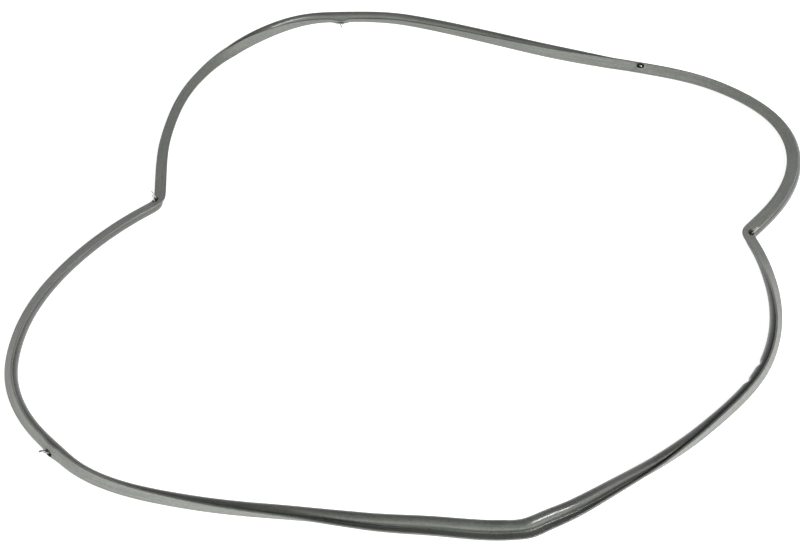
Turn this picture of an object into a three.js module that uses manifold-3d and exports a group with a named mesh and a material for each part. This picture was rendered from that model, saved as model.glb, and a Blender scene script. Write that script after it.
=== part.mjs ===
// Oven door gasket: one endless rubber extrusion with a flat base and a hollow bulb,
// lying relaxed and twisted on a table, with six spring wire hooks in its base.
// Millimetres, +Z up, origin on the table below the middle of the loop.
import * as THREE from "three";
import { mergeVertices } from "three/addons/utils/BufferGeometryUtils.js";
import Module from "manifold-3d";

const wasm = await Module();
wasm.setup();

// How far the middle line of the loop spreads on the table, along X and along Y
const LOOP_WIDTH = 506;
const LOOP_LENGTH = 552;

// Section of the extrusion: a flat base, with a hollow bulb under one side of it
const BASE_WIDTH = 8;
const BASE_THICKNESS = 1.2;
const BASE_EDGE_ROUND = 0.35;
const BULB_DIAMETER = 6.3;
const BULB_WALL = 1.05;
const BULB_OFFSET = 2.2;
const SECTION_HEIGHT = 7.25;
const BULB_SIDES = 12;
const HOLLOW_SIDES = 10;
// Angle at which the bulb leaves the back of the base, from straight towards the base
const BULB_LEAVES = 38;

// Hooks, and the slots that they stand in
const WIRE_DIAMETER = 0.8;
const WIRE_SIDES = 6;
const WIRE_STEPS = 29;
const HOOK_HEIGHT = 6.2;
const HOOK_ROOT_SPREAD = 3;
const HOOK_TIP_SPREAD = 1.1;
const ANCHOR_LENGTH = 7;
const ANCHOR_CLEARANCE = 0.5;
const SLOT_OFFSET = 1.8;
const SLOT_WIDTH = 3.4;
const SLOT_CLEARANCE = 0.8;
const TORN_LENGTH = 3;
const SWELL_LENGTH = 18;

// Straight stretch at each hook, and the sharp folds at two of them
const PAD_LENGTH = 18;
const FOLD_LEG = 5;
const FOLD_CLEARANCE = 0.8;

// Vulcanised joint of the two ends: two shallow creases across the crown
const CREASE_SPACING = 18;
const CREASE_DEPTH = 1;
const CREASE_LENGTH = 5;

// Length over which the strip rises to a hook that holds it off the table
const LIFT_LENGTH = 170;

// Fineness of the sweep
const LONGEST_STEP = 21;
const TURN_PER_STEP = 12;
const ROLL_PER_STEP = 15;
const SHORTEST_STEP = 0.5;

const bulbRadius = BULB_DIAMETER / 2;
const bulbDepth = SECTION_HEIGHT - bulbRadius;
const hollowRadius = bulbRadius - BULB_WALL;
const hollowDepth = bulbDepth - hollowRadius;
const lowSide = -Math.max(BASE_WIDTH / 2, BULB_OFFSET + bulbRadius);
const highSide = Math.max(BASE_WIDTH / 2, bulbRadius - BULB_OFFSET);
const middleAcross = (lowSide + highSide) / 2;
const middleDepth = SECTION_HEIGHT / 2;
const FOLD_RADIUS = (highSide - lowSide) / 2 + FOLD_CLEARANCE;

const radians = THREE.MathUtils.degToRad;
const wrapTurn = (turn) => turn - 360 * Math.round(turn / 360);

// The lie of the loop, clockwise seen from above. Places are in percent of half its
// width and half its length, and headings in degrees from +X. Roll is where the base
// faces: 0 outward, 90 up, 180 inward, 270 or -90 down. A bend is one point of the
// middle line, a pad the straight stretch at a hook, and a fold is bent sharply there.
const bend = (x, y, heading, roll, name) => ({ kind: "bend", x, y, heading, roll, name });
const pad = (x, y, heading, roll, name) => ({ kind: "pad", x, y, heading, roll, name });
const fold = (x, y, heading, turn, roll, name) => ({ kind: "fold", x, y, heading, turn, roll, name });

const ROUTE = [
  bend(79.4, -26.4, -91, 56),
  bend(75.1, -47.5, -111, 20),
  bend(69.6, -57.4, -124, 8, "splice"),
  bend(54.2, -73.1, -136, -5),
  bend(35.8, -86.8, -143, -37),
  bend(23.3, -95.4, -146, -64),
  fold(14.3, -100.0, -149, -24, -86, "near"),
  bend(-7.5, -98.2, 172, -73),
  bend(-30.4, -95.3, 171, -38),
  bend(-53.8, -92.0, 168, -10),
  pad(-84.2, -78.6, 135, 12, "near_left"),
  bend(-97.6, -60.9, 110, 33),
  bend(-100.0, -44.9, 89, 52),
  bend(-92.5, -18.8, 64, 74),
  fold(-75.1, 3.3, 46, 50, 78, "left"),
  bend(-77.9, 32.6, 89, 80),
  bend(-73.9, 63.0, 73, 106),
  bend(-64.0, 83.0, 54, 148),
  bend(-50.2, 94.9, 33, 196),
  pad(-30.8, 100.0, 2, 228, "far_left"),
  bend(-9.9, 98.9, -15, 219),
  bend(16.6, 88.8, -25, 200),
  bend(37.2, 80.1, -22, 179),
  pad(63.6, 71.7, -20, 140, "far"),
  bend(85.0, 61.2, -42, 132),
  bend(96.8, 46.7, -66, 122),
  bend(100.0, 32.6, -90, 114),
  bend(91.3, 6.5, -121, 96),
  fold(77.9, -9.4, -131, 51, 84, "right"),
];

// How each hook sits: its lean towards the free edge of the base, how far it draws
// the base out of line, and whether the base is torn between its slot and the bulb's side
const HOOKS = {
  near: { lean: 0, swell: 0.3, torn: false },
  near_left: { lean: 20, swell: 0.9, torn: true },
  left: { lean: -14, swell: 0, torn: false },
  far_left: { lean: 0, swell: 1.6, torn: false },
  far: { lean: 12, swell: 0.4, torn: false },
  right: { lean: -26, swell: 0, torn: false },
};
const HOOK_NAMES = Object.keys(HOOKS);

const heads = (heading) => new THREE.Vector3(Math.cos(radians(heading)), Math.sin(radians(heading)), 0);

// One place of the route as stations, with the station that a named middle lies after
function stationsOf(place) {
  const { kind, x, y, heading, turn, roll, name } = place;
  const middle = new THREE.Vector3((x * LOOP_WIDTH) / 200, (y * LOOP_LENGTH) / 200, 0);
  const station = (along, way) => {
    const point = middle.clone().addScaledVector(heads(way), along);
    return { point, heading: way, roll };
  };
  if (kind === "pad") {
    const ends = [station(-PAD_LENGTH / 2, heading), station(PAD_LENGTH / 2, heading)];
    return { stations: ends, mark: { name, after: 0, share: 0.5 } };
  }
  if (kind === "fold") {
    const setback = FOLD_RADIUS * Math.tan(radians(Math.abs(turn) / 2));
    const after = heading + turn;
    const stations = [
      station(-setback - FOLD_LEG, heading),
      station(-setback, heading),
      station(setback, after),
      station(setback + FOLD_LEG, after),
    ];
    return { stations, mark: { name, after: 1, share: 0.5 } };
  }
  return { stations: [station(0, heading)], mark: { name, after: 0, share: 0 } };
}

// The stretch between two stations as a curve that keeps both headings
function stretchCurve(from, to) {
  const chord = from.point.distanceTo(to.point);
  const turn = wrapTurn(to.heading - from.heading);
  const reach = chord / (3 * Math.cos(radians(turn / 4)) ** 2);
  return new THREE.CubicBezierCurve3(
    from.point,
    from.point.clone().addScaledVector(heads(from.heading), reach),
    to.point.clone().addScaledVector(heads(to.heading), -reach),
    to.point,
  );
}

// Rate of roll at each station, by a monotone rule that keeps equal rolls level
function rollRates(stations, lengths) {
  const count = stations.length;
  const rates = lengths.map((length, i) => {
    const next = stations[(i + 1) % count];
    return wrapTurn(next.roll - stations[i].roll) / length;
  });
  return rates.map((ahead, i) => {
    const behind = rates[(i + count - 1) % count];
    return behind * ahead <= 0 ? 0 : (2 * behind * ahead) / (behind + ahead);
  });
}

function layRoute() {
  const stations = [];
  const marks = [];
  for (const place of ROUTE) {
    const opened = stationsOf(place);
    if (place.name) marks.push({ ...opened.mark, after: stations.length + opened.mark.after });
    stations.push(...opened.stations);
  }
  const count = stations.length;
  const curves = stations.map((station, i) => stretchCurve(station, stations[(i + 1) % count]));
  const lengths = curves.map((curve) => curve.getLength());
  const starts = [0];
  for (const length of lengths) starts.push(starts[starts.length - 1] + length);
  const middles = {};
  for (const mark of marks) middles[mark.name] = starts[mark.after] + mark.share * lengths[mark.after];
  return { stations, curves, lengths, starts, middles, rates: rollRates(stations, lengths) };
}

const route = layRoute();
const loopLength = route.starts[route.stations.length];

// Place, heading and roll of the strip at a distance along the loop
function along(distance) {
  const count = route.stations.length;
  const s = ((distance % loopLength) + loopLength) % loopLength;
  let i = 0;
  while (i < count - 1 && route.starts[i + 1] <= s) i += 1;
  const next = (i + 1) % count;
  const length = route.lengths[i];
  const u = (s - route.starts[i]) / length;
  const from = route.stations[i].roll;
  const change = wrapTurn(route.stations[next].roll - from);
  const ease = change * u * u * (3 - 2 * u);
  const bow = length * u * (1 - u) * ((1 - u) * route.rates[i] - u * route.rates[next]);
  return {
    middle: route.curves[i].getPointAt(u),
    ahead: route.curves[i].getTangentAt(u),
    roll: radians(from + ease + bow),
  };
}

// Distance between two places of the loop, the short way
function apart(a, b) {
  const gap = Math.abs(a - b) % loopLength;
  return Math.min(gap, loopLength - gap);
}

// A smooth hump: 1 at its middle, 0 from half its length on
function hump(gap, length) {
  const share = Math.min(1, (2 * gap) / length);
  return (1 - share * share) ** 2;
}

// A section point is across the base, from its middle to its free edge, and below its face
const sectionPoint = (across, depth) => ({ across, depth });

function outerOutline() {
  const edge = BASE_WIDTH / 2;
  const round = BASE_EDGE_ROUND;
  const points = [
    sectionPoint(0, 0),
    sectionPoint(edge - round, 0),
    sectionPoint(edge, round),
    sectionPoint(edge, BASE_THICKNESS - round),
    sectionPoint(edge - round, BASE_THICKNESS),
  ];
  for (let k = 0; k < BULB_SIDES; k += 1) {
    const angle = radians(BULB_LEAVES + ((360 - 2 * BULB_LEAVES) * k) / (BULB_SIDES - 1));
    const across = bulbRadius * Math.sin(angle) - BULB_OFFSET;
    points.push(sectionPoint(across, bulbDepth - bulbRadius * Math.cos(angle)));
  }
  points.push(
    sectionPoint(round - edge, BASE_THICKNESS),
    sectionPoint(-edge, BASE_THICKNESS - round),
    sectionPoint(-edge, round),
    sectionPoint(round - edge, 0),
  );
  return points;
}

function hollowOutline() {
  const points = [];
  for (let k = 0; k < HOLLOW_SIDES; k += 1) {
    const angle = (2 * Math.PI * k) / HOLLOW_SIDES;
    const across = hollowRadius * Math.sin(angle) - BULB_OFFSET;
    points.push(sectionPoint(across, bulbDepth - hollowRadius * Math.cos(angle)));
  }
  return points;
}

const outer = outerOutline();

// Height of the middle of the base over the lowest point of the section
function baseOverLowest(roll) {
  const heights = outer.map(({ across, depth }) => across * Math.cos(roll) - depth * Math.sin(roll));
  return -Math.min(...heights);
}

// How far a hook, or the base drawn out at it, reaches below the rest of the section
function reachBelow(name) {
  const { roll } = along(route.middles[name]);
  const { lean, swell } = HOOKS[name];
  const tipHeight = HOOK_HEIGHT - WIRE_DIAMETER / 2;
  const tipAcross = tipHeight * Math.tan(radians(lean)) - SLOT_OFFSET;
  const tip = tipAcross * Math.cos(roll) + tipHeight * Math.sin(roll) - WIRE_DIAMETER / 2;
  const edge = swell * Math.sin(roll) - (BASE_WIDTH / 2) * Math.abs(Math.cos(roll));
  return Math.max(0, -Math.min(tip, edge) - baseOverLowest(roll));
}

// How far the section is held up at a distance, by the hooks that point at the table
function lift(distance) {
  let height = 0;
  for (const name of HOOK_NAMES) {
    height += reachBelow(name) * hump(apart(distance, route.middles[name]), LIFT_LENGTH);
  }
  return height;
}

// Axes of the strip at a distance: ahead, out of the base, and across it to its free edge
function stripAxes(distance) {
  const { middle, ahead, roll } = along(distance);
  const outward = new THREE.Vector3(-ahead.y, ahead.x, 0);
  const facing = outward.clone().multiplyScalar(Math.cos(roll));
  facing.z = Math.sin(roll);
  const across = outward.clone().multiplyScalar(-Math.sin(roll));
  across.z = Math.cos(roll);
  const base = middle.clone();
  base.addScaledVector(facing, middleDepth).addScaledVector(across, -middleAcross);
  base.z = baseOverLowest(roll) + lift(distance);
  return { base, ahead, facing, across };
}

function stripPoint(axes, { across, depth }) {
  return axes.base.clone().addScaledVector(axes.across, across).addScaledVector(axes.facing, -depth);
}

// Local changes of the section: the base drawn out at a hook, the crown creased at the splice
function shaped({ across, depth }, distance) {
  let drawn = 0;
  for (const name of HOOK_NAMES) {
    drawn += HOOKS[name].swell * hump(apart(distance, route.middles[name]), SWELL_LENGTH);
  }
  let crease = 0;
  for (const side of [-0.5, 0.5]) {
    const gap = apart(distance, route.middles.splice + side * CREASE_SPACING);
    crease += CREASE_DEPTH * hump(gap, CREASE_LENGTH);
  }
  const atBase = depth <= BASE_THICKNESS ? 1 : 0;
  const atCrown = Math.max(0, (depth - bulbDepth) / bulbRadius);
  return sectionPoint(across, depth - drawn * atBase - crease * atCrown);
}

// Places of the cross-sections: closer where the strip turns, rolls, swells or is creased
function sectionPlaces() {
  const places = [];
  const count = route.stations.length;
  route.stations.forEach((station, i) => {
    const next = route.stations[(i + 1) % count];
    const turn = Math.abs(wrapTurn(next.heading - station.heading));
    const roll = Math.abs(wrapTurn(next.roll - station.roll));
    const needs = [route.lengths[i] / LONGEST_STEP, turn / TURN_PER_STEP, roll / ROLL_PER_STEP];
    const steps = Math.ceil(Math.max(...needs));
    for (let k = 0; k < steps; k += 1) places.push(route.starts[i] + (route.lengths[i] * k) / steps);
  });
  const spread = (middle, length) => {
    for (const share of [-0.5, -0.25, 0, 0.25, 0.5]) places.push(middle + share * length);
  };
  for (const name of HOOK_NAMES) {
    if (HOOKS[name].swell > 0) spread(route.middles[name], SWELL_LENGTH);
  }
  for (const side of [-0.5, 0.5]) spread(route.middles.splice + side * CREASE_SPACING, CREASE_LENGTH);
  const sorted = places.map((s) => (s + loopLength) % loopLength).sort((a, b) => a - b);
  return sorted.filter((s, i) => i === 0 || s - sorted[i - 1] > SHORTEST_STEP);
}

// A closed tube of one outline, its faces out of the rubber or into the hollow
function sweep(outline, places, insideOut) {
  const positions = [];
  const faces = [];
  for (const distance of places) {
    const axes = stripAxes(distance);
    for (const point of outline) positions.push(...stripPoint(axes, shaped(point, distance)).toArray());
  }
  const size = outline.length;
  places.forEach((_, i) => {
    const here = i * size;
    const there = ((i + 1) % places.length) * size;
    for (let k = 0; k < size; k += 1) {
      const next = (k + 1) % size;
      const [a, b, c, d] = [here + k, here + next, there + next, there + k];
      faces.push(...(insideOut ? [a, c, b, a, d, c] : [a, b, c, a, c, d]));
    }
  });
  return { positions, faces };
}

function solidFromMesh(positions, faces) {
  const vertProperties = new Float32Array(positions);
  const triVerts = new Uint32Array(faces);
  return new wasm.Manifold(new wasm.Mesh({ numProp: 3, vertProperties, triVerts }));
}

function solidFromGeometry(geometry) {
  const bare = geometry.clone();
  bare.deleteAttribute("normal");
  bare.deleteAttribute("uv");
  const merged = mergeVertices(bare, 1e-4);
  return solidFromMesh(merged.attributes.position.array, merged.index.array);
}

function geometryFromSolid(solid) {
  const mesh = solid.getMesh();
  const geometry = new THREE.BufferGeometry();
  geometry.setAttribute("position", new THREE.BufferAttribute(new Float32Array(mesh.vertProperties), 3));
  geometry.setIndex(new THREE.BufferAttribute(new Uint32Array(mesh.triVerts), 1));
  geometry.computeVertexNormals();
  return geometry;
}

// Places a shape drawn with +X along the strip, +Y to the bulb's side and +Z out of the base
function placeAtHook(geometry, name) {
  const { base, ahead, facing, across } = stripAxes(route.middles[name]);
  const toBulb = across.clone().negate();
  const placement = new THREE.Matrix4().makeBasis(ahead, toBulb, facing).setPosition(base);
  return geometry.applyMatrix4(placement);
}

const clearOfBase = (name) => HOOKS[name].swell + BASE_THICKNESS;

// The slot runs from outside the base into the hollow of the bulb
function slotCutter(name) {
  const length = HOOK_ROOT_SPREAD + WIRE_DIAMETER + 2 * SLOT_CLEARANCE;
  const deep = hollowDepth + BULB_WALL;
  const outline = new THREE.Shape();
  outline.absellipse(0, SLOT_OFFSET, length / 2, SLOT_WIDTH / 2, 0, 2 * Math.PI);
  const settings = { depth: deep + clearOfBase(name), bevelEnabled: false, curveSegments: 8 };
  const geometry = new THREE.ExtrudeGeometry(outline, settings).translate(0, 0, -deep);
  return solidFromGeometry(placeAtHook(geometry, name));
}

// Where the base is torn, the slot runs out through the edge at the bulb's side
function tornCutter(name) {
  const high = clearOfBase(name);
  const geometry = new THREE.BoxGeometry(TORN_LENGTH, BASE_WIDTH, BASE_THICKNESS + high);
  geometry.translate(0, SLOT_OFFSET + BASE_WIDTH / 2, (high - BASE_THICKNESS) / 2);
  return solidFromGeometry(placeAtHook(geometry, name));
}

function sealStrip() {
  const places = sectionPlaces();
  const skin = sweep(outer, places, false);
  const hollow = sweep(hollowOutline(), places, true);
  const shift = skin.positions.length / 3;
  const faces = [...skin.faces, ...hollow.faces.map((index) => index + shift)];
  let solid = solidFromMesh([...skin.positions, ...hollow.positions], faces);
  for (const name of HOOK_NAMES) {
    solid = solid.subtract(slotCutter(name));
    if (HOOKS[name].torn) solid = solid.subtract(tornCutter(name));
  }
  return geometryFromSolid(solid);
}

// Middle line of a hook's wire, along the strip and out of the base: an anchor in the
// hollow, a slanting leg, the tip, an upright leg and the other anchor
function wireLine() {
  const anchor = -(hollowDepth + ANCHOR_CLEARANCE + WIRE_DIAMETER / 2);
  const root = HOOK_ROOT_SPREAD / 2;
  const knee = root + WIRE_DIAMETER;
  const tip = root - HOOK_TIP_SPREAD / 2;
  const neck = HOOK_HEIGHT - HOOK_TIP_SPREAD;
  return [
    [-knee - ANCHOR_LENGTH, anchor],
    [-knee - ANCHOR_LENGTH / 2, anchor],
    [-knee, anchor],
    [-root, -BASE_THICKNESS],
    [tip - HOOK_TIP_SPREAD / 2, neck],
    [tip, HOOK_HEIGHT - WIRE_DIAMETER / 2],
    [root, neck],
    [root, -BASE_THICKNESS],
    [knee, anchor],
    [knee + ANCHOR_LENGTH / 2, anchor],
    [knee + ANCHOR_LENGTH, anchor],
  ];
}

// The legs stand straight at the middle of the slot, and the anchors follow the hollow
function wireHook(name) {
  const lean = Math.tan(radians(HOOKS[name].lean));
  const stand = stripAxes(route.middles[name]);
  const points = wireLine().map(([ahead, height]) => {
    if (height < -BASE_THICKNESS) {
      const axes = stripAxes(route.middles[name] + ahead);
      return stripPoint(axes, sectionPoint(-SLOT_OFFSET, -height));
    }
    const leg = sectionPoint(lean * Math.max(0, height) - SLOT_OFFSET, -height);
    return stripPoint(stand, leg).addScaledVector(stand.ahead, ahead);
  });
  const section = new THREE.Shape();
  section.absellipse(0, 0, WIRE_DIAMETER / 2, WIRE_DIAMETER / 2, 0, 2 * Math.PI);
  const geometry = new THREE.ExtrudeGeometry(section, {
    steps: WIRE_STEPS,
    curveSegments: WIRE_SIDES / 2,
    bevelEnabled: false,
    extrudePath: new THREE.CatmullRomCurve3(points, false, "centripetal"),
  });
  return geometryFromSolid(solidFromGeometry(geometry));
}

const rubber = new THREE.MeshStandardMaterial({ color: 0x3b3d3c, roughness: 0.62, metalness: 0 });
const springSteel = new THREE.MeshStandardMaterial({ color: 0xb9bcbd, roughness: 0.28, metalness: 1 });

const group = new THREE.Group();

const strip = new THREE.Mesh(sealStrip(), rubber);
strip.name = "seal_strip";
group.add(strip);

for (const name of HOOK_NAMES) {
  const wire = new THREE.Mesh(wireHook(name), springSteel);
  wire.name = `hook_${name}`;
  group.add(wire);
}

// Origin on the table, below the middle of the loop
const box = new THREE.Box3().setFromObject(group);
const centre = box.getCenter(new THREE.Vector3());
for (const piece of group.children) piece.position.set(-centre.x, -centre.y, -box.min.z);

export default group;
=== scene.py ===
import math

import bpy
import numpy as np
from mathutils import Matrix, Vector


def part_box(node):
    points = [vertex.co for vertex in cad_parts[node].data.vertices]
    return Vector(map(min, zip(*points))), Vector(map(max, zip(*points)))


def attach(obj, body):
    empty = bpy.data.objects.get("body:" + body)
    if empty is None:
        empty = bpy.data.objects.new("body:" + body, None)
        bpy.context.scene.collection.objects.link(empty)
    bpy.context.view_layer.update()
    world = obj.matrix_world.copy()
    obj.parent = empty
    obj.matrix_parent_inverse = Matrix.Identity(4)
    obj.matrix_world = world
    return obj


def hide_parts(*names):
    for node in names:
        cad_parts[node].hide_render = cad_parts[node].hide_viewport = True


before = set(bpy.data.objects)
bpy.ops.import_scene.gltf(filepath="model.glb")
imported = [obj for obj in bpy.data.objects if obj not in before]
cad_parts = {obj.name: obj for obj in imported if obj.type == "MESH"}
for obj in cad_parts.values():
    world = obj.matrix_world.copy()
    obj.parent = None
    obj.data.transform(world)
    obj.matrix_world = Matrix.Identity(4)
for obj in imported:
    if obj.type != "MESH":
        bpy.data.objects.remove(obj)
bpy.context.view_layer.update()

# Lengths below are in millimetres, and meshes are made in metres
MM = 0.001

# How far the middle line of the loop spreads on the table, along X and along Y
LOOP_WIDTH = 506
LOOP_LENGTH = 552

# The route's places are in percent of half the width and length, so each whole is this many
WHOLE_PERCENT = 200

# Section of the extrusion
BASE_WIDTH = 8
BASE_THICKNESS = 1.2
BASE_EDGE_ROUND = 0.35
BULB_DIAMETER = 6.3
BULB_WALL = 1.05
BULB_OFFSET = 2.2
SECTION_HEIGHT = 7.25
BULB_LEAVES = 38
FILLET = 0.5

# Hooks, and the slots that they stand in
WIRE_DIAMETER = 0.8
HOOK_HEIGHT = 6.2
HOOK_ROOT_SPREAD = 3
HOOK_TIP_SPREAD = 1.1
ANCHOR_LENGTH = 7
ANCHOR_CLEARANCE = 0.5
SLOT_OFFSET = 1.8
SLOT_WIDTH = 3.4
SLOT_CLEARANCE = 0.8
SLOT_FLARE = 0.14
SWELL_LENGTH = 18

# Lip round a slot. Its crest and its spread are in shares of half the slot's size.
LIP_HEIGHT = 0.22
LIP_CREST = 1.2
LIP_SPREAD = 0.35

# Straight stretch at each hook, and the sharp folds
PAD_LENGTH = 18
FOLD_LEG = 5
FOLD_CLEARANCE = 0.8

# How far the fine strip's route is averaged along the loop, as the spread of a bell curve,
# and how many spreads of the curve are taken in
SOFTENING = 3.2
SOFTENING_REACH = 4

# Vulcanised joint of the two ends
CREASE_SPACING = 18
CREASE_DEPTH = 1.3
CREASE_LENGTH = 9

# Dent in the bulb where the near fold bends it
DENT_PAST_HOOK = 6
DENT_DEPTH = 0.8
DENT_LENGTH = 17

# Stretch that is held up where a hook or the drawn out base meets the table
LIFT_LENGTH = 170

# Fineness of the fine meshes
SECTION_STEP = 2.8
DETAIL_STEP = 0.75
DETAIL_REACH = 13
CREASE_STEP = 0.6
BASE_POINTS = 13
BULB_POINTS = 30
HOLLOW_POINTS = 22
CORNER_POINTS = 4
CURVE_SAMPLES = 240
ROUTE_STEP = 0.25
SLOT_SIDES = 28
WIRE_SIDES = 14
WIRE_STEPS = 14
WIRE_DOME_DEGREES = (0, 30, 60)
WIRE_TIP_SHARE = 1 / 50
KNOT_POWER = 0.5
SHARP_DEGREES = 38

# Finish of the rubber. Greys run from 0 to 1, noise scales are per metre, and a bump is its
# depth in metres and its strength. Lines have a scale along the strip and one across it.
RUBBER_TINT = (0.98, 1.03, 0.93)
BULB_GREY = 0.06
BASE_GREY = 0.124
BULB_ROUGHNESS = 0.28
BASE_ROUGHNESS = 0.55
UNEVEN_ROUGHNESS = (-0.05, 0.06)
RUBBER_SPECULAR = 0.75
LINE_SCALES = (24, 800)
LINE_SHADES = (0.8, 1.22)
LINE_BUMP = (0.00012, 0.6)
FINE_LINE_SCALES = (60, 5200)
FINE_LINE_BUMP = (0.00005, 0.5)
GRAIN_SCALE = 2600
GRAIN_BUMP = (0.00003, 0.35)
MOTTLE_SCALE = 620
MOTTLE_SHADES = (0.78, 1.24)
PATCH_SCALE = 24
FADED_GREY = 0.3
FADED_WHERE = (0.4, 0.75)
FADED_MOST = 0.1
DUST_SCALE = 700
DUST_GREY = 0.4
DUST_WHERE = (0.66, 0.78)
DUST_MOST = 0.3

# Finish of the steel, in the same units
STEEL_GREY = 0.52
STEEL_ROUGHNESS = (0.17, 0.36)
STEEL_LINE_SCALES = (120, 9000)
STEEL_LINE_BUMP = (0.00001, 0.4)
TARNISH_GREY = 0.3
TARNISH_WARMTH = 0.05
TARNISH_SCALE = 420
TARNISH_WHERE = (0.45, 0.75)
TARNISH_MOST = 0.35

# The values that most of a noise lies between, and how much of its finest detail shows
NOISE_RANGE = (0.3, 0.7)
SOFT_NOISE = 0.55
ROUGH_NOISE = 0.7

# The table, the camera and the light, in metres, watts and degrees. A lamp's direction is
# its compass direction, from -Y towards +X. The walls' light fades from the height where
# they end to the one where the ceiling starts, both as the sine of the elevation.
TABLE_SIZE = 12
TABLE_GREY = 0.86
TABLE_GLOW = 0.75
CAMERA_PLACE = (-0.02855, -0.69898, 0.5062)
CAMERA_TILT = 51.4
CAMERA_LENS = 58.03
KEY_LAMP = {"direction": 52, "elevation": 38, "distance": 1.9, "size": (0.8, 0.18), "power": 24}
FRONT_LAMP = {"direction": 0, "elevation": 7, "distance": 2.2, "size": (3.6, 0.3), "power": 64}
WALL_LIGHT = 1.15
CEILING_LIGHT = 0.12
WALL_END = 0.22
CEILING_START = 0.8

bulb_radius = BULB_DIAMETER / 2
bulb_depth = SECTION_HEIGHT - bulb_radius
hollow_radius = bulb_radius - BULB_WALL
hollow_depth = bulb_depth - hollow_radius
low_side = -max(BASE_WIDTH / 2, BULB_OFFSET + bulb_radius)
high_side = max(BASE_WIDTH / 2, bulb_radius - BULB_OFFSET)
middle_across = (low_side + high_side) / 2
middle_depth = SECTION_HEIGHT / 2
fold_radius = (high_side - low_side) / 2 + FOLD_CLEARANCE
slot_length = HOOK_ROOT_SPREAD + WIRE_DIAMETER + 2 * SLOT_CLEARANCE

# The lie of the loop, clockwise seen from above. Places are in percent of half its width
# and half its length, and headings in degrees from +X. Roll is where the base faces:
# 0 outward, 90 up, 180 inward, 270 or -90 down. A fold also has the turn that it makes.
ROUTE = [
    ("bend", 79.4, -26.4, -91, 56),
    ("bend", 75.1, -47.5, -111, 20),
    ("bend", 69.6, -57.4, -124, 8, "splice"),
    ("bend", 54.2, -73.1, -136, -5),
    ("bend", 35.8, -86.8, -143, -37),
    ("bend", 23.3, -95.4, -146, -64),
    ("fold", 14.3, -100.0, -149, -86, "near", -24),
    ("bend", -7.5, -98.2, 172, -73),
    ("bend", -30.4, -95.3, 171, -38),
    ("bend", -53.8, -92.0, 168, -10),
    ("pad", -84.2, -78.6, 135, 12, "near_left"),
    ("bend", -97.6, -60.9, 110, 33),
    ("bend", -100.0, -44.9, 89, 52),
    ("bend", -92.5, -18.8, 64, 74),
    ("fold", -75.1, 3.3, 46, 78, "left", 50),
    ("bend", -77.9, 32.6, 89, 80),
    ("bend", -73.9, 63.0, 73, 106),
    ("bend", -64.0, 83.0, 54, 148),
    ("bend", -50.2, 94.9, 33, 196),
    ("pad", -30.8, 100.0, 2, 228, "far_left"),
    ("bend", -9.9, 98.9, -15, 219),
    ("bend", 16.6, 88.8, -25, 200),
    ("bend", 37.2, 80.1, -22, 179),
    ("pad", 63.6, 71.7, -20, 140, "far"),
    ("bend", 85.0, 61.2, -42, 132),
    ("bend", 96.8, 46.7, -66, 122),
    ("bend", 100.0, 32.6, -90, 114),
    ("bend", 91.3, 6.5, -121, 96),
    ("fold", 77.9, -9.4, -131, 84, "right", 51),
]

# Each hook's lean towards the free edge of the base, and how far it draws the base out
HOOKS = {
    "near": (0, 0.3),
    "near_left": (20, 0.9),
    "left": (-14, 0),
    "far_left": (0, 1.6),
    "far": (12, 0.4),
    "right": (-26, 0),
}
TORN_HOOK = "near_left"

# The torn edge of the base, along the strip and towards the bulb's side
TORN_OUTLINE = [
    (-1.1, 1.8), (-1.5, 2.6), (-1.2, 3.1), (-1.75, 3.6), (-1.5, 4.1), (-1.9, 5.2),
    (1.9, 5.2), (1.35, 4.0), (1.7, 3.4), (1.2, 2.9), (1.4, 1.8),
]


# The route, as in the solids and then softened

def wrap_turn(turn):
    return turn - 360 * round(turn / 360)


def heads(heading):
    return np.array([math.cos(math.radians(heading)), math.sin(math.radians(heading))])


def stations_of(place):
    """The stations of one place, and the station and share that its named middle lies at."""
    kind, x, y, heading, roll = place[:5]
    middle = np.array([x * LOOP_WIDTH, y * LOOP_LENGTH]) / WHOLE_PERCENT
    if kind == "bend":
        return [(middle, heading, roll)], (0, 0)
    if kind == "pad":
        half = PAD_LENGTH / 2
        return [(middle + end * half * heads(heading), heading, roll) for end in (-1, 1)], (0, 0.5)
    turn = place[6]
    after = heading + turn
    setback = fold_radius * math.tan(math.radians(abs(turn) / 2))
    return [
        (middle - (setback + FOLD_LEG) * heads(heading), heading, roll),
        (middle - setback * heads(heading), heading, roll),
        (middle + setback * heads(after), after, roll),
        (middle + (setback + FOLD_LEG) * heads(after), after, roll),
    ], (1, 0.5)


def stretch_points(start, end):
    """Points and directions of the curve between two stations."""
    chord = np.linalg.norm(end[0] - start[0])
    turn = wrap_turn(end[1] - start[1])
    reach = chord / (3 * math.cos(math.radians(turn / 4)) ** 2)
    a, b = start[0], start[0] + reach * heads(start[1])
    c, d = end[0] - reach * heads(end[1]), end[0]
    t = np.linspace(0, 1, CURVE_SAMPLES + 1)[:, None]
    points = (1 - t) ** 3 * a + 3 * (1 - t) ** 2 * t * b + 3 * (1 - t) * t ** 2 * c + t ** 3 * d
    tangents = (1 - t) ** 2 * (b - a) + 2 * (1 - t) * t * (c - b) + t ** 2 * (d - c)
    return points, tangents / np.linalg.norm(tangents, axis=1)[:, None]


def opened_route():
    """The stations all round, and the station and share that each named middle lies at."""
    stations, marks = [], {}
    for place in ROUTE:
        opened, (after, share) = stations_of(place)
        if len(place) > 5:
            marks[place[5]] = (len(stations) + after, share)
        stations += opened
    return stations, marks


def roll_rates(slopes):
    """How fast the roll turns at each station, given its mean rate on the way to the next."""
    rates = []
    for behind, ahead in zip(slopes[-1:] + slopes[:-1], slopes):
        turns_back = behind * ahead <= 0
        rates.append(0 if turns_back else 2 * behind * ahead / (behind + ahead))
    return rates


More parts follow.
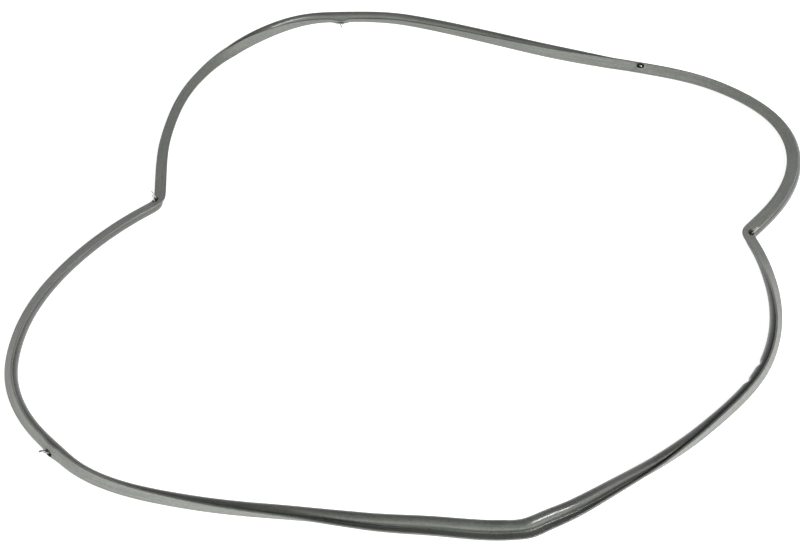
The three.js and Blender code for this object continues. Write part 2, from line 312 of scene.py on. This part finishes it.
def lay_route():
    """Close samples of the loop, with their distances and unwrapped rolls, and its middles."""
    stations, marks = opened_route()
    count = len(stations)
    curves = [stretch_points(stations[i], stations[(i + 1) % count]) for i in range(count)]
    steps = [np.linalg.norm(np.diff(points, axis=0), axis=1) for points, _ in curves]
    lengths = [step.sum() for step in steps]
    turns = [wrap_turn(stations[(i + 1) % count][2] - stations[i][2]) for i in range(count)]
    rates = roll_rates([turn / length for turn, length in zip(turns, lengths)])
    laid = {"distance": [], "place": [], "ahead": [], "roll": []}
    starts, start, rolled = [], 0, stations[0][2]
    for i in range(count):
        points, tangents = curves[i]
        walked = np.concatenate([[0], np.cumsum(steps[i])])
        u = walked / lengths[i]
        ease = turns[i] * u * u * (3 - 2 * u)
        bow = lengths[i] * u * (1 - u) * ((1 - u) * rates[i] - u * rates[(i + 1) % count])
        keep = slice(None) if i == count - 1 else slice(0, -1)
        laid["distance"].append((start + walked)[keep])
        laid["place"].append(points[keep])
        laid["ahead"].append(tangents[keep])
        laid["roll"].append((rolled + ease + bow)[keep])
        starts.append(start)
        start += lengths[i]
        rolled += turns[i]
    joined = {key: np.concatenate(parts) for key, parts in laid.items()}
    places = {name: starts[i] + share * lengths[i] for name, (i, share) in marks.items()}
    return joined, start, places


def softened(laid, length):
    """The same route with its folds rounded, as thick rubber rounds them."""
    count = round(length / ROUTE_STEP)
    step = length / count
    distance = np.arange(count) * step
    most = round(SOFTENING_REACH * SOFTENING / step)
    offsets = np.arange(-most, most + 1)
    weights = np.exp(-((offsets * step / SOFTENING) ** 2) / 2)
    weights /= weights.sum()

    def smooth(values):
        even = np.interp(distance, laid["distance"], values)
        return sum(weight * np.roll(even, -offset) for offset, weight in zip(offsets, weights))

    place = np.stack([smooth(laid["place"][:, 0]), smooth(laid["place"][:, 1])], axis=1)
    ahead = np.roll(place, -1, axis=0) - np.roll(place, 1, axis=0)
    ahead /= np.linalg.norm(ahead, axis=1)[:, None]
    soft = {"distance": distance, "place": place, "ahead": ahead, "roll": smooth(laid["roll"])}
    closed = {key: np.concatenate([values, values[:1]]) for key, values in soft.items()}
    closed["distance"][-1] = length
    return closed


laid_route, loop_length, middles = lay_route()
route = softened(laid_route, loop_length)
creases = [middles["splice"] + side * CREASE_SPACING / 2 for side in (-1, 1)]


def along(distance):
    """Place, direction and roll in radians at each distance."""
    s = np.mod(distance, loop_length)

    def at(values):
        return np.interp(s, route["distance"], values)

    place = np.stack([at(route["place"][:, 0]), at(route["place"][:, 1])], axis=-1)
    ahead = np.stack([at(route["ahead"][:, 0]), at(route["ahead"][:, 1])], axis=-1)
    ahead = ahead / np.linalg.norm(ahead, axis=-1)[..., None]
    return place, ahead, np.radians(at(route["roll"]))


def past(distance, middle):
    """How far each distance lies past a middle, the short way round the loop."""
    return np.mod(distance - middle + loop_length / 2, loop_length) - loop_length / 2


def hump(gap, length):
    """1 at its middle, 0 from half its length on."""
    share = np.minimum(1, 2 * np.abs(gap) / length)
    return (1 - share * share) ** 2


# The section, as points of across and depth below the face of the base

def arc(centre, radius, first, last, count):
    """Points of an arc, with angles in degrees from straight towards the base."""
    angles = np.radians(np.linspace(first, last, count))
    return np.stack([centre[0] + radius * np.sin(angles), centre[1] - radius * np.cos(angles)], axis=1)


def outer_outline():
    """The skin, round from one edge of the base to the other and over the bulb."""
    curve = BASE_EDGE_ROUND
    flat = BASE_WIDTH / 2 - curve
    corner = 90 / CORNER_POINTS
    rise = bulb_depth - BASE_THICKNESS - FILLET
    run = math.sqrt((bulb_radius + FILLET) ** 2 - rise ** 2)
    fillet = (run - BULB_OFFSET, BASE_THICKNESS + FILLET)
    leaves = math.degrees(math.atan2(run, rise))
    bulb = (-BULB_OFFSET, bulb_depth)
    face = np.linspace(-flat, flat, BASE_POINTS)
    return np.concatenate([
        np.stack([face, np.zeros(BASE_POINTS)], axis=1),
        arc((flat, curve), curve, corner, 90, CORNER_POINTS),
        arc((flat, BASE_THICKNESS - curve), curve, 90 + corner, 180, CORNER_POINTS),
        [[(flat + fillet[0]) / 2, BASE_THICKNESS]],
        arc(fillet, FILLET, 360, 180 + leaves, CORNER_POINTS + 2),
        arc(bulb, bulb_radius, leaves, 360 - BULB_LEAVES, BULB_POINTS)[1:],
        arc((-flat, BASE_THICKNESS - curve), curve, 180, 270, CORNER_POINTS),
        arc((-flat, curve), curve, 270, 360 - corner, CORNER_POINTS),
    ])


outer = outer_outline()
hollow = arc((-BULB_OFFSET, bulb_depth), hollow_radius, 0, 360, HOLLOW_POINTS + 1)[:-1]


def base_over_lowest(roll):
    """Height of the middle of the base over the lowest point of the section."""
    across, depth = outer.T
    heights = np.multiply.outer(np.cos(roll), across) - np.multiply.outer(np.sin(roll), depth)
    return -heights.min(axis=-1)


def reach_below(name):
    """How far a hook, or the base drawn out at it, reaches below the rest of the section."""
    roll = along(middles[name])[2]
    lean, swell = HOOKS[name]
    tip_height = HOOK_HEIGHT - WIRE_DIAMETER / 2
    tip_across = tip_height * math.tan(math.radians(lean)) - SLOT_OFFSET
    tip = tip_across * math.cos(roll) + tip_height * math.sin(roll) - WIRE_DIAMETER / 2
    edge = swell * math.sin(roll) - BASE_WIDTH / 2 * abs(math.cos(roll))
    return max(0, -min(tip, edge) - base_over_lowest(roll))


def strip_axes(distance):
    """The middle of the base, and the ways ahead, out of the base and to its free edge."""
    place, ahead, roll = along(distance)
    flat = np.zeros(roll.shape + (1,))
    outward = np.stack([-ahead[..., 1], ahead[..., 0]], axis=-1)
    cos, sin = np.cos(roll)[..., None], np.sin(roll)[..., None]
    facing = np.concatenate([outward * cos, sin], axis=-1)
    across = np.concatenate([-outward * sin, cos], axis=-1)
    base = np.concatenate([place, flat], axis=-1) + facing * middle_depth - across * middle_across
    base[..., 2] = base_over_lowest(roll)
    for name in HOOKS:
        base[..., 2] += reach_below(name) * hump(past(distance, middles[name]), LIFT_LENGTH)
    return base, np.concatenate([ahead, flat], axis=-1), facing, across


def shaped_depth(across, depth, distance):
    """Depths with the base drawn out and lipped at the hooks, and the crown creased and dented."""
    at_base = np.clip(1 - (depth - BASE_THICKNESS) / FILLET, 0, 1)
    at_face = np.clip(1 - depth / BASE_EDGE_ROUND, 0, 1)
    at_crown = np.maximum(0, (depth - bulb_depth) / bulb_radius)
    changed = depth + 0 * distance
    for name, (_, swell) in HOOKS.items():
        gap = past(distance, middles[name])
        changed = changed - swell * hump(gap, SWELL_LENGTH) * at_base
        ring = np.hypot(2 * gap / slot_length, 2 * (across + SLOT_OFFSET) / SLOT_WIDTH)
        changed = changed - LIP_HEIGHT * np.exp(-((ring - LIP_CREST) / LIP_SPREAD) ** 2) * at_face
    for crease in creases:
        changed = changed - CREASE_DEPTH * hump(past(distance, crease), CREASE_LENGTH) * at_crown
    dent = DENT_DEPTH * hump(past(distance, middles["near"] + DENT_PAST_HOOK), DENT_LENGTH)
    return changed - dent * at_crown


def section_places():
    """Distances of the cross-sections from the splice on, closer where there is detail."""
    fine = [(middles[name], DETAIL_REACH, DETAIL_STEP) for name in HOOKS]
    fine += [(crease, CREASE_LENGTH / 2, CREASE_STEP) for crease in creases]
    places, walked = [], 0
    while walked < loop_length - SECTION_STEP / 2:
        places.append(middles["splice"] + walked)
        steps = [step for middle, reach, step in fine if abs(past(places[-1], middle)) < reach]
        walked += min(steps, default=SECTION_STEP)
    return np.array(places)


# Meshes

def new_mesh(name, points, faces, corner_uv):
    mesh = bpy.data.meshes.new(name)
    mesh.from_pydata((np.asarray(points) * MM).tolist(), [], faces.tolist())
    layer = mesh.uv_layers.new(name="along_and_round")
    layer.data.foreach_set("uv", (corner_uv * MM).reshape(-1).astype(np.float32))
    mesh.shade_smooth()
    return mesh


def swept_tube(outline, places, inside_out):
    """Points, quads and corner UVs, in millimetres, of a closed tube round the loop."""
    base, _, facing, across = strip_axes(places)
    side, depth = outline[:, 0][None, :], outline[:, 1][None, :]
    deep = shaped_depth(side, depth, places[:, None])
    points = base[:, None] + across[:, None] * side[..., None] - facing[:, None] * deep[..., None]
    rows, columns = len(places), len(outline)
    i, k = np.meshgrid(np.arange(rows), np.arange(columns), indexing="ij")
    i_next, k_next = (i + 1) % rows, (k + 1) % columns
    corners = [(i, k), (i, k_next), (i_next, k_next), (i_next, k)]
    lengths = np.append(places - places[0], loop_length)
    closed = np.concatenate([outline, outline[:1]])
    rounds = np.concatenate([[0], np.cumsum(np.linalg.norm(np.diff(closed, axis=0), axis=1))])
    uv = [(lengths[i], rounds[k]), (lengths[i], rounds[k + 1]),
          (lengths[i + 1], rounds[k + 1]), (lengths[i + 1], rounds[k])]
    order = (0, 3, 2, 1) if inside_out else (0, 1, 2, 3)
    faces = np.stack([corners[n][0] * columns + corners[n][1] for n in order], axis=-1).reshape(-1, 4)
    corner_uv = np.stack([np.stack(uv[n], axis=-1) for n in order], axis=-2).reshape(-1, 2)
    return points.reshape(-1, 3), faces, corner_uv


def at_hook(name, points):
    """Places points drawn along the strip, to the bulb's side and out of the base."""
    base, ahead, facing, across = strip_axes(np.array(middles[name]))
    x, y, z = np.asarray(points, dtype=float).T[:, :, None]
    return base + ahead * x - across * y + facing * z


def prism(name, rings):
    """A closed solid through rings of the same number of points, set at a hook."""
    count = len(rings[0])
    points = at_hook(name, np.concatenate(rings))
    faces = [list(range(count))[::-1], list(range((len(rings) - 1) * count, len(rings) * count))]
    for ring in range(len(rings) - 1):
        for k in range(count):
            a, b = ring * count + k, ring * count + (k + 1) % count
            faces.append([a, b, b + count, a + count])
    return points, faces


def slot_cutter(name):
    angles = np.linspace(0, 2 * math.pi, SLOT_SIDES, endpoint=False)
    clear = HOOKS[name][1] + BASE_THICKNESS
    levels = [
        (-hollow_depth - BULB_WALL, 1),
        (-BASE_THICKNESS / 2, 1),
        (HOOKS[name][1], 1 + SLOT_FLARE),
        (clear, 1 + SLOT_FLARE),
    ]
    rings = []
    for height, grown in levels:
        x = grown * slot_length / 2 * np.cos(angles)
        y = SLOT_OFFSET + grown * SLOT_WIDTH / 2 * np.sin(angles)
        rings.append(np.stack([x, y, np.full(SLOT_SIDES, height)], axis=1))
    return prism(name, rings)


def torn_cutter(name):
    clear = HOOKS[name][1] + BASE_THICKNESS
    outline = np.array(TORN_OUTLINE)
    heights = (-BASE_THICKNESS, clear)
    return prism(name, [np.column_stack([outline, np.full(len(outline), height)]) for height in heights])


def cutter_object(name, solids, shift):
    points, faces = [], []
    for part_points, part_faces in solids:
        faces += [[index + sum(map(len, points)) for index in face] for face in part_faces]
        points.append(part_points)
    mesh = bpy.data.meshes.new(name)
    mesh.from_pydata(((np.concatenate(points) + shift) * MM).tolist(), [], faces)
    return bpy.data.objects.new(name, mesh)


def cut(piece, cutter):
    """Takes the cutter out of the piece, and the cutter out of the scene."""
    bpy.context.collection.objects.link(cutter)
    boolean = piece.modifiers.new("cut", "BOOLEAN")
    boolean.operation = "DIFFERENCE"
    boolean.solver = "EXACT"
    boolean.object = cutter
    graph = bpy.context.evaluated_depsgraph_get()
    done = bpy.data.meshes.new_from_object(piece.evaluated_get(graph))
    piece.modifiers.clear()
    piece.data = done
    bpy.data.objects.remove(cutter)


def catmull_rom(points, steps):
    """A smooth line through points, with its knots spaced by the root of their distance."""
    points = np.concatenate([[2 * points[0] - points[1]], points, [2 * points[-1] - points[-2]]])
    line = []
    for i in range(1, len(points) - 2):
        a, b, c, d = points[i - 1:i + 3]
        gaps = [np.linalg.norm(q - p) ** KNOT_POWER for p, q in ((a, b), (b, c), (c, d))]
        knots = np.cumsum([0] + gaps)
        t = np.linspace(knots[1], knots[2], steps, endpoint=False)[:, None]
        k0, k1, k2, k3 = knots
        p = ((k1 - t) * a + (t - k0) * b) / (k1 - k0)
        q = ((k2 - t) * b + (t - k1) * c) / (k2 - k1)
        r = ((k3 - t) * c + (t - k2) * d) / (k3 - k2)
        p = ((k2 - t) * p + (t - k0) * q) / (k2 - k0)
        q = ((k3 - t) * q + (t - k1) * r) / (k3 - k1)
        line.append(((k2 - t) * p + (t - k1) * q) / (k2 - k1))
    return np.concatenate(line + [points[-2:-1]])


def wire_line(name):
    """Middle line of a hook's wire: an anchor in the hollow, the two legs, the other anchor."""
    anchor = -(hollow_depth + ANCHOR_CLEARANCE + WIRE_DIAMETER / 2)
    root = HOOK_ROOT_SPREAD / 2
    knee = root + WIRE_DIAMETER
    tip = root - HOOK_TIP_SPREAD / 2
    neck = HOOK_HEIGHT - HOOK_TIP_SPREAD
    drawn = [
        (-knee - ANCHOR_LENGTH, anchor), (-knee - ANCHOR_LENGTH / 2, anchor), (-knee, anchor),
        (-root, -BASE_THICKNESS), (tip - HOOK_TIP_SPREAD / 2, neck),
        (tip, HOOK_HEIGHT - WIRE_DIAMETER / 2), (root, neck), (root, -BASE_THICKNESS),
        (knee, anchor), (knee + ANCHOR_LENGTH / 2, anchor), (knee + ANCHOR_LENGTH, anchor),
    ]
    slant = math.tan(math.radians(HOOKS[name][0]))
    points = []
    for x, height in drawn:
        if height >= -BASE_THICKNESS:
            y = SLOT_OFFSET - slant * max(0, height)
            points.append(at_hook(name, [(x, y, height)])[0])
        else:
            base, _, facing, across = strip_axes(np.array(middles[name] + x))
            points.append(base - across * SLOT_OFFSET + facing * height)
    return catmull_rom(np.array(points), WIRE_STEPS)


def wire_axes(line):
    """The way ahead at each point of a line, and two ways across it, carried without twist."""
    ahead = np.gradient(line, axis=0)
    ahead /= np.linalg.norm(ahead, axis=1)[:, None]
    side = np.cross(ahead[0], (0, 0, 1))
    sides = []
    for way in ahead:
        side = side - way * side.dot(way)
        side = side / np.linalg.norm(side)
        sides.append(side)
    sides = np.array(sides)
    return ahead, sides, np.cross(ahead, sides)


def wire_rows(count, radius):
    """The rings of a domed wire: each one's point of the line, its way past it and its radius."""
    dome = np.radians(WIRE_DOME_DEGREES)
    rings = [(-math.cos(angle) * radius, math.sin(angle) * radius) for angle in dome]
    least = radius * WIRE_TIP_SHARE
    rows = [(0, forth, max(wide, least)) for forth, wide in rings]
    rows += [(i, 0, radius) for i in range(count)]
    rows += [(-1, -forth, max(wide, least)) for forth, wide in rings[::-1]]
    return rows


def wire_mesh(name, shift):
    """A round wire with domed ends, swept along its middle line."""
    line = wire_line(name)
    ahead, sides, normals = wire_axes(line)
    radius = WIRE_DIAMETER / 2
    rows = wire_rows(len(line), radius)
    angles = np.linspace(0, 2 * math.pi, WIRE_SIDES, endpoint=False)[:, None]
    points = np.concatenate([
        line[i] + ahead[i] * forth + wide * (np.cos(angles) * sides[i] + np.sin(angles) * normals[i])
        for i, forth, wide in rows
    ])
    i, k = np.meshgrid(np.arange(len(rows) - 1), np.arange(WIRE_SIDES), indexing="ij")
    k_next = (k + 1) % WIRE_SIDES
    quads = np.stack([i * WIRE_SIDES + k, (i + 1) * WIRE_SIDES + k,
                      (i + 1) * WIRE_SIDES + k_next, i * WIRE_SIDES + k_next], axis=-1).reshape(-1, 4)
    walked = np.concatenate([[0], np.cumsum(np.linalg.norm(np.diff(line, axis=0), axis=1))])
    lengths = np.array([walked[i] + forth for i, forth, _ in rows])
    turn = radius * 2 * math.pi / WIRE_SIDES
    uv = np.stack([
        np.stack([lengths[i + di], (k + dk) * turn], axis=-1)
        for di, dk in ((0, 0), (1, 0), (1, 1), (0, 1))
    ], axis=-2).reshape(-1, 2)
    return new_mesh("hook_" + name + "_mesh", points + shift, quads, uv)


# Materials

def nodes_of(material):
    material.use_nodes = True
    tree = material.node_tree
    return tree, tree.nodes["Principled BSDF"]


def add_node(tree, kind, inputs=None, **settings):
    node = tree.nodes.new(kind)
    for key, value in settings.items():
        setattr(node, key, value)
    for key, value in (inputs or {}).items():
        if isinstance(value, bpy.types.NodeSocket):
            tree.links.new(value, node.inputs[key])
        else:
            node.inputs[key].default_value = value
    return node


def noise(tree, vector, scale, detail, roughness=SOFT_NOISE):
    inputs = {"Vector": vector, "Scale": scale, "Detail": detail, "Roughness": roughness}
    return add_node(tree, "ShaderNodeTexNoise", inputs).outputs["Fac"]


def ranged(tree, value, low, high, out_low, out_high):
    inputs = {"Value": value, "From Min": low, "From Max": high, "To Min": out_low, "To Max": out_high}
    return add_node(tree, "ShaderNodeMapRange", inputs).outputs["Result"]


def varied(tree, value, out_low, out_high):
    """A noise spread between two values."""
    return ranged(tree, value, *NOISE_RANGE, out_low, out_high)


def mixed(tree, share, a, b, blend="MIX"):
    """A mix of colours, whose sockets on this node are inputs 6 and 7 and output 2."""
    node = add_node(tree, "ShaderNodeMix", {0: share, 6: a, 7: b}, data_type="RGBA", blend_type=blend)
    return node.outputs[2]


def maths(tree, operation, a, b):
    return add_node(tree, "ShaderNodeMath", {0: a, 1: b}, operation=operation).outputs[0]


def grey(level, warm=0):
    return (level * (1 + warm), level, level * (1 - warm), 1)


def rubber_grey(level):
    """A grey a little towards green, as this rubber is."""
    return tuple(level * part for part in RUBBER_TINT) + (1,)


def stretched(tree, uv_map, lengthwise, crosswise):
    inputs = {"Vector": uv_map.outputs["UV"], "Scale": (lengthwise, crosswise, 1)}
    return add_node(tree, "ShaderNodeMapping", inputs).outputs["Vector"]


def bumped(tree, height, distance, strength, after=None):
    inputs = {"Height": height, "Distance": distance, "Strength": strength}
    if after is not None:
        inputs["Normal"] = after
    return add_node(tree, "ShaderNodeBump", inputs).outputs["Normal"]


def rubber_material():
    """Extruded rubber: a pale matt base with drawn lines, and a darker, smoother bulb."""
    material = bpy.data.materials.new("extruded_rubber")
    tree, shader = nodes_of(material)
    uv_map = add_node(tree, "ShaderNodeUVMap", uv_map="along_and_round")
    place = add_node(tree, "ShaderNodeTexCoord").outputs["Object"]
    base_share = add_node(tree, "ShaderNodeAttribute", attribute_name="base_share").outputs["Fac"]
    lines = noise(tree, stretched(tree, uv_map, *LINE_SCALES), 1, detail=4)
    fine_lines = noise(tree, stretched(tree, uv_map, *FINE_LINE_SCALES), 1, detail=3)
    grain = noise(tree, place, GRAIN_SCALE, detail=2)
    patches = noise(tree, place, PATCH_SCALE, detail=4)
    dust = noise(tree, place, DUST_SCALE, detail=3, roughness=ROUGH_NOISE)
    mottle = noise(tree, place, MOTTLE_SCALE, detail=3, roughness=ROUGH_NOISE)

    skin = mixed(tree, base_share, rubber_grey(BULB_GREY), rubber_grey(BASE_GREY))
    lined = mixed(tree, 1, skin, varied(tree, lines, *LINE_SHADES), "MULTIPLY")
    mottled = mixed(tree, 1, lined, varied(tree, mottle, *MOTTLE_SHADES), "MULTIPLY")
    faded_share = ranged(tree, patches, *FADED_WHERE, 0, FADED_MOST)
    faded = mixed(tree, faded_share, mottled, rubber_grey(FADED_GREY))
    dust_share = ranged(tree, dust, *DUST_WHERE, 0, DUST_MOST)
    dusty = mixed(tree, dust_share, faded, rubber_grey(DUST_GREY))
    tree.links.new(dusty, shader.inputs["Base Color"])

    even = ranged(tree, base_share, 0, 1, BULB_ROUGHNESS, BASE_ROUGHNESS)
    uneven = varied(tree, patches, *UNEVEN_ROUGHNESS)
    tree.links.new(maths(tree, "ADD", even, uneven), shader.inputs["Roughness"])
    shader.inputs["Specular IOR Level"].default_value = RUBBER_SPECULAR

    grained = bumped(tree, grain, *GRAIN_BUMP)
    drawn = bumped(tree, fine_lines, *FINE_LINE_BUMP, grained)
    tree.links.new(bumped(tree, lines, *LINE_BUMP, drawn), shader.inputs["Normal"])
    return material


def steel_material():
    """Drawn spring wire: bright, with fine lines along it and a faint warm tarnish."""
    material = bpy.data.materials.new("drawn_spring_wire")
    tree, shader = nodes_of(material)
    uv_map = add_node(tree, "ShaderNodeUVMap", uv_map="along_and_round")
    place = add_node(tree, "ShaderNodeTexCoord").outputs["Object"]
    lines = noise(tree, stretched(tree, uv_map, *STEEL_LINE_SCALES), 1, detail=3)
    tarnish = noise(tree, place, TARNISH_SCALE, detail=3)
    share = ranged(tree, tarnish, *TARNISH_WHERE, 0, TARNISH_MOST)
    tint = mixed(tree, share, grey(STEEL_GREY), grey(TARNISH_GREY, TARNISH_WARMTH))
    tree.links.new(tint, shader.inputs["Base Color"])
    shader.inputs["Metallic"].default_value = 1
    tree.links.new(varied(tree, lines, *STEEL_ROUGHNESS), shader.inputs["Roughness"])
    tree.links.new(bumped(tree, lines, *STEEL_LINE_BUMP), shader.inputs["Normal"])
    return material


def seen_directly(tree):
    """1 for rays of the camera, and for those that a surface mirrors or lets through."""
    path = add_node(tree, "ShaderNodeLightPath").outputs
    mirrored = maths(tree, "MAXIMUM", path["Is Glossy Ray"], path["Is Transmission Ray"])
    return maths(tree, "MAXIMUM", path["Is Camera Ray"], mirrored)


def table_material():
    """A white table that stays near white where it is seen directly, with the shadows on it."""
    material = bpy.data.materials.new("white_table")
    material.use_nodes = True
    tree = material.node_tree
    tree.nodes.clear()
    diffuse = add_node(tree, "ShaderNodeBsdfDiffuse", {"Color": grey(TABLE_GREY)})
    lit = maths(tree, "MULTIPLY", seen_directly(tree), TABLE_GLOW)
    glow = add_node(tree, "ShaderNodeEmission", {"Strength": lit})
    both = add_node(tree, "ShaderNodeAddShader", {0: diffuse.outputs[0], 1: glow.outputs[0]})
    out = add_node(tree, "ShaderNodeOutputMaterial")
    tree.links.new(both.outputs[0], out.inputs["Surface"])
    return material


# The pieces

def add_piece(mesh, node, material):
    piece = bpy.data.objects.new("fine_" + node, mesh)
    bpy.context.collection.objects.link(piece)
    mesh.materials.append(material)
    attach(piece, "root")
    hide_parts(node)
    return piece


def build_strip(material):
    """The strip with its slots cut, and how far its points moved to meet the solid's box."""
    places = section_places()
    skin, skin_faces, skin_uv = swept_tube(outer, places, False)
    core, core_faces, core_uv = swept_tube(hollow, places, True)
    low, high = (np.array(corner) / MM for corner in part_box("seal_strip"))
    shift = (low + high) / 2 - (skin.min(axis=0) + skin.max(axis=0)) / 2
    shift[2] = 0
    points = np.concatenate([skin, core]) + shift
    faces = np.concatenate([skin_faces, core_faces + len(skin)])
    mesh = new_mesh("seal_strip_mesh", points, faces, np.concatenate([skin_uv, core_uv]))
    share = np.clip(1 - outer[:, 1] / (2 * BASE_EDGE_ROUND), 0, 1)
    shares = np.concatenate([np.tile(share, len(places)), np.zeros(len(core))])
    attribute = mesh.attributes.new("base_share", "FLOAT", "POINT")
    attribute.data.foreach_set("value", shares.astype(np.float32))
    piece = add_piece(mesh, "seal_strip", material)
    cut(piece, cutter_object("slots", [slot_cutter(name) for name in HOOKS], shift))
    cut(piece, cutter_object("tear", [torn_cutter(TORN_HOOK)], shift))
    piece.data.set_sharp_from_angle(angle=math.radians(SHARP_DEGREES))
    return shift


# The table, the camera and the light

def lay_table():
    half = TABLE_SIZE / 2
    corners = [(-half, -half, 0), (half, -half, 0), (half, half, 0), (-half, half, 0)]
    mesh = bpy.data.meshes.new("table_mesh")
    mesh.from_pydata(corners, [], [(0, 1, 2, 3)])
    mesh.materials.append(table_material())
    table = bpy.data.objects.new("table", mesh)
    bpy.context.collection.objects.link(table)


def set_camera():
    camera = bpy.data.objects.new("camera", bpy.data.cameras.new("camera"))
    bpy.context.collection.objects.link(camera)
    camera.data.lens = CAMERA_LENS
    camera.location = CAMERA_PLACE
    camera.rotation_euler = (math.radians(CAMERA_TILT), 0, 0)
    bpy.context.scene.camera = camera


def soft_lamp(name, direction, elevation, distance, size, power):
    """An area lamp aimed at the middle of the table."""
    lamp = bpy.data.objects.new(name, bpy.data.lights.new(name, "AREA"))
    lamp.data.shape = "RECTANGLE"
    lamp.data.size, lamp.data.size_y = size
    lamp.data.energy = power
    turn = math.radians(direction)
    rise = math.radians(elevation)
    way = Vector((math.sin(turn) * math.cos(rise), -math.cos(turn) * math.cos(rise), math.sin(rise)))
    lamp.location = way * distance
    lamp.rotation_euler = way.to_track_quat("Z", "Y").to_euler()
    bpy.context.collection.objects.link(lamp)
    return lamp


def light_world():
    """Pale walls all round that darken towards a dim ceiling."""
    world = bpy.data.worlds.new("white_room")
    bpy.context.scene.world = world
    world.use_nodes = True
    tree = world.node_tree
    tree.nodes.clear()
    direction = add_node(tree, "ShaderNodeTexCoord").outputs["Generated"]
    height = add_node(tree, "ShaderNodeSeparateXYZ", {"Vector": direction}).outputs["Z"]
    strength = ranged(tree, height, WALL_END, CEILING_START, WALL_LIGHT, CEILING_LIGHT)
    background = add_node(tree, "ShaderNodeBackground", {"Color": (1, 1, 1, 1), "Strength": strength})
    out = add_node(tree, "ShaderNodeOutputWorld")
    tree.links.new(background.outputs[0], out.inputs["Surface"])


# The scene

shift = build_strip(rubber_material())
steel = steel_material()
for hook in HOOKS:
    add_piece(wire_mesh(hook, shift), "hook_" + hook, steel)

lay_table()
set_camera()
soft_lamp("key", **KEY_LAMP)
soft_lamp("low_front", **FRONT_LAMP).visible_glossy = False
light_world()
bpy.context.scene.view_settings.view_transform = "Standard"
